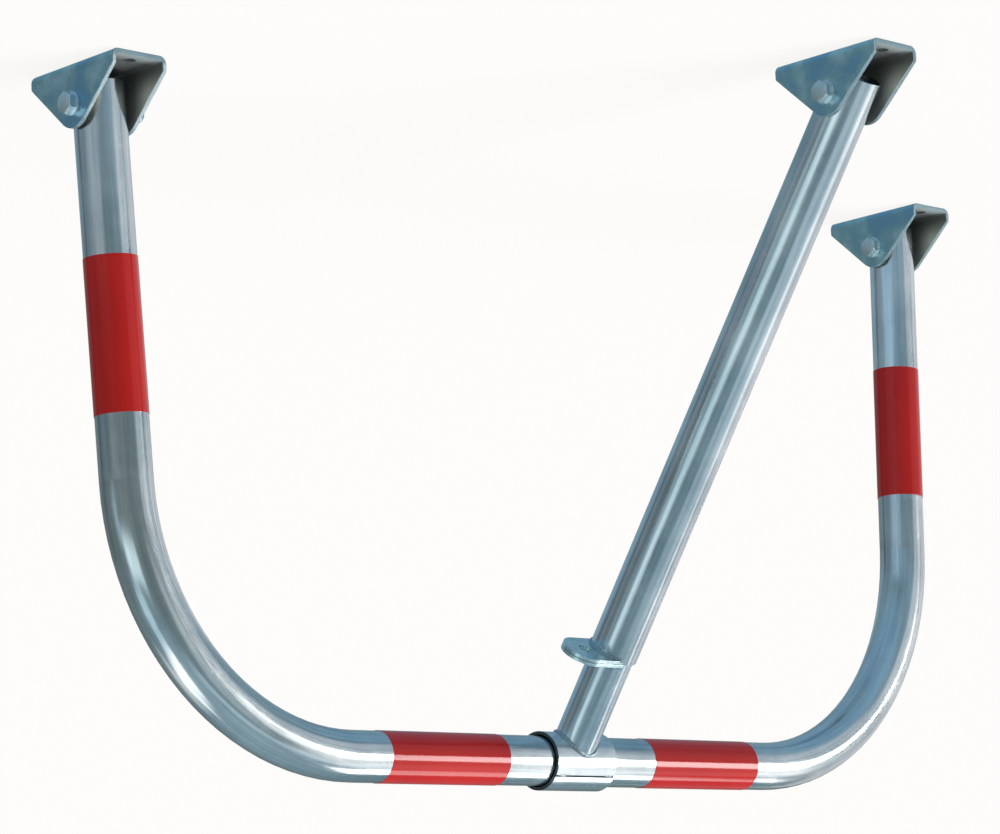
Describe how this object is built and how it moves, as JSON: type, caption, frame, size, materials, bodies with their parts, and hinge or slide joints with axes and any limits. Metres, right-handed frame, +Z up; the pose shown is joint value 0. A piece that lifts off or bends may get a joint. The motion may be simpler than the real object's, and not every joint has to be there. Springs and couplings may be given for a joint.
{
  "type": "parking barrier",
  "caption": "Folding parking hoop of bent zinc-plated tube with a front strut in a collar, padlock lugs, red reflective bands and hinged ground brackets.",
  "frame": {"origin": "on the ground, midway between the hoop's two feet, at the centre of their anchor holes", "axes": "+Z up, +X along the hoop from left foot to right foot, -Y towards the strut foot"},
  "size_m": [1.0363, 0.461, 0.561],
  "materials": {
    "zinc_tube": "bright zinc plating",
    "zinc_plate": "blue zinc plating",
    "zinc_hardware": "zinc plating",
    "reflective_tape": "red retroreflective film"
  },
  "bodies": {
    "ground_feet": {"hoop_foot_left": "zinc_plate", "hoop_foot_right": "zinc_plate", "strut_foot": "zinc_plate", "pivot_bolt_left": "zinc_hardware", "washers_left": "zinc_hardware", "lock_nut_left": "zinc_hardware", "pivot_bolt_right": "zinc_hardware", "washers_right": "zinc_hardware", "lock_nut_right": "zinc_hardware", "pivot_bolt_strut": "zinc_hardware", "washers_strut": "zinc_hardware", "lock_nut_strut": "zinc_hardware"},
    "hoop": {"hoop_tube": "zinc_tube", "band_leg_left": "reflective_tape", "band_leg_right": "reflective_tape", "band_crown_left": "reflective_tape", "band_crown_right": "reflective_tape"},
    "strut_lower": {"strut_outer_tube": "zinc_tube", "outer_lug": "zinc_tube"},
    "strut_upper": {"strut_inner_tube": "zinc_tube", "inner_lug": "zinc_tube", "collar_upper_half": "zinc_tube", "collar_lower_half": "zinc_tube"}
  },
  "joints": [
    {"name": "hoop_fold", "type": "hinge", "parent": "ground_feet", "child": "hoop", "pos_m": [0, 0, 0.034], "axis": [-1, 0, 0], "range_deg": [0, 84]},
    {"name": "strut_fold", "type": "hinge", "parent": "ground_feet", "child": "strut_lower", "pos_m": [0, -0.357, 0.034], "axis": [-1, 0, 0], "range_deg": [0, 54.6]},
    {"name": "collar_turn", "type": "hinge", "parent": "hoop", "child": "strut_upper", "pos_m": [0, 0, 0.536], "axis": [-1, 0, 0], "range_deg": [-29.5, 0]}
  ],
  "couplings": [
    {"joint": "strut_fold", "follows": "hoop_fold", "ratio": 0.649},
    {"joint": "collar_turn", "follows": "hoop_fold", "ratio": -0.351}
  ]
}
